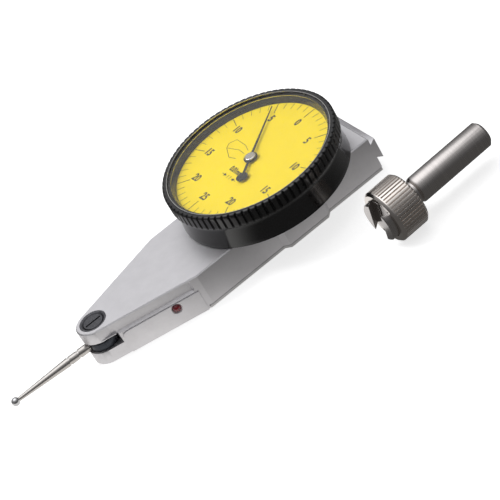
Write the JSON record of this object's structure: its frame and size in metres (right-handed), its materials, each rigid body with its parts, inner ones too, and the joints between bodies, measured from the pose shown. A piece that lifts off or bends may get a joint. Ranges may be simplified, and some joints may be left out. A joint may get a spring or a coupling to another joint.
{
  "type": "dial test indicator",
  "caption": "Lever-type dial test indicator: round dial on a tapered body, ball-tipped stylus in a forked nose, and a separate dovetail stem with a knurled clamp ring.",
  "frame": {"origin": "on the dial axis, at the rest face of the back cover", "axes": "+Z along the dial's normal, out of the dial; +X towards the rear dovetail, so the stylus points to -X; +Y to the side away from the loose stem"},
  "size_m": [0.1071, 0.0582, 0.018],
  "materials": {
    "satin_chrome": "satin chrome plate",
    "cover_steel": "satin, ground",
    "screw_steel": "turned",
    "black_steel": "black oxide, slightly glossy",
    "holder_steel": "blued steel, satin",
    "stylus_steel": "fine turned",
    "ball_steel": "polished",
    "ruby_red": "polished jewel",
    "spring_bronze": "rolled strip",
    "gear_brass": "fine cut",
    "arbor_steel": "polished",
    "base_metal": "turned",
    "bezel_black": "glossy moulded",
    "dial_yellow": "matte",
    "clear_crystal": "clear polished",
    "ring_silver": "bright turned",
    "clamp_black": "moulded",
    "pointer_black": "matte",
    "cap_silver": "turned",
    "stem_steel": "ground steel, bright",
    "knurl_steel": "nickel plated, knurled"
  },
  "bodies": {
    "housing": {"body_frame": "satin_chrome", "back_cover": "cover_steel", "cover_screws": "screw_steel", "side_jewel": "ruby_red", "pivot_bush": "black_steel", "pivot_screw": "black_steel", "dial_base": "base_metal", "base_screws": "screw_steel", "retaining_wire": "arbor_steel", "movement_bridge": "gear_brass", "bridge_pillars": "gear_brass", "bridge_screws": "screw_steel", "bearing_jewels": "ruby_red", "hairspring": "spring_bronze", "spring_stud": "gear_brass"},
    "lever": {"contact_lever": "arbor_steel", "friction_washer": "spring_bronze"},
    "stylus_arm": {"stylus_holder": "holder_steel", "stylus": "stylus_steel", "contact_ball": "ball_steel"},
    "gear_train": {"train_arbor": "arbor_steel", "train_wheel": "gear_brass"},
    "hand": {"centre_arbor": "arbor_steel", "spring_collet": "gear_brass", "pointer": "pointer_black", "pointer_cap": "cap_silver"},
    "bezel_unit": {"bezel": "bezel_black", "dial_plate": "dial_yellow", "dial_clamp": "clamp_black", "crystal": "clear_crystal", "crystal_ring": "ring_silver"},
    "stem": {"clamp_stem": "stem_steel"},
    "stem_nut": {"clamp_ring": "knurl_steel"}
  },
  "joints": [
    {"name": "lever_swing", "type": "hinge", "parent": "housing", "child": "lever", "pos_m": [-0.04685, 0, 0.0052], "axis": [0, 0, 1], "range_deg": [-1.4, 0], "stiffness_Nm_per_rad": 0.01, "springref_deg": 17.19},
    {"name": "stylus_set", "type": "hinge", "parent": "lever", "child": "stylus_arm", "pos_m": [-0.04685, 0, 0.0042], "axis": [0, 0, 1], "range_deg": [-95, 95]},
    {"name": "train_spin", "type": "hinge", "parent": "housing", "child": "gear_train", "pos_m": [-0.008, 0, 0.005], "axis": [0, 0, 1], "range_deg": [0, 44]},
    {"name": "pointer_spin", "type": "hinge", "parent": "housing", "child": "hand", "pos_m": [0, 0, 0.016], "axis": [0, 0, 1], "range_deg": [-396, 0], "deforming": ["hairspring"]},
    {"name": "bezel_turn", "type": "hinge", "parent": "housing", "child": "bezel_unit", "pos_m": [0, 0, 0.0123], "axis": [0, 0, 1], "continuous": true},
    {"name": "stem_lift", "type": "slide", "parent": "housing", "child": "stem", "axis": [0, 0, 1], "range_m": [0, 0.03]},
    {"name": "nut_turn", "type": "hinge", "parent": "stem", "child": "stem_nut", "pos_m": [0.01243, -0.03193, 0.0061], "axis": [0.9989, 0.0471, 0], "range_deg": [-90, 270]}
  ],
  "couplings": [
    {"joint": "train_spin", "follows": "lever_swing", "ratio": -31.375},
    {"joint": "pointer_spin", "follows": "lever_swing", "ratio": 282.38}
  ]
}
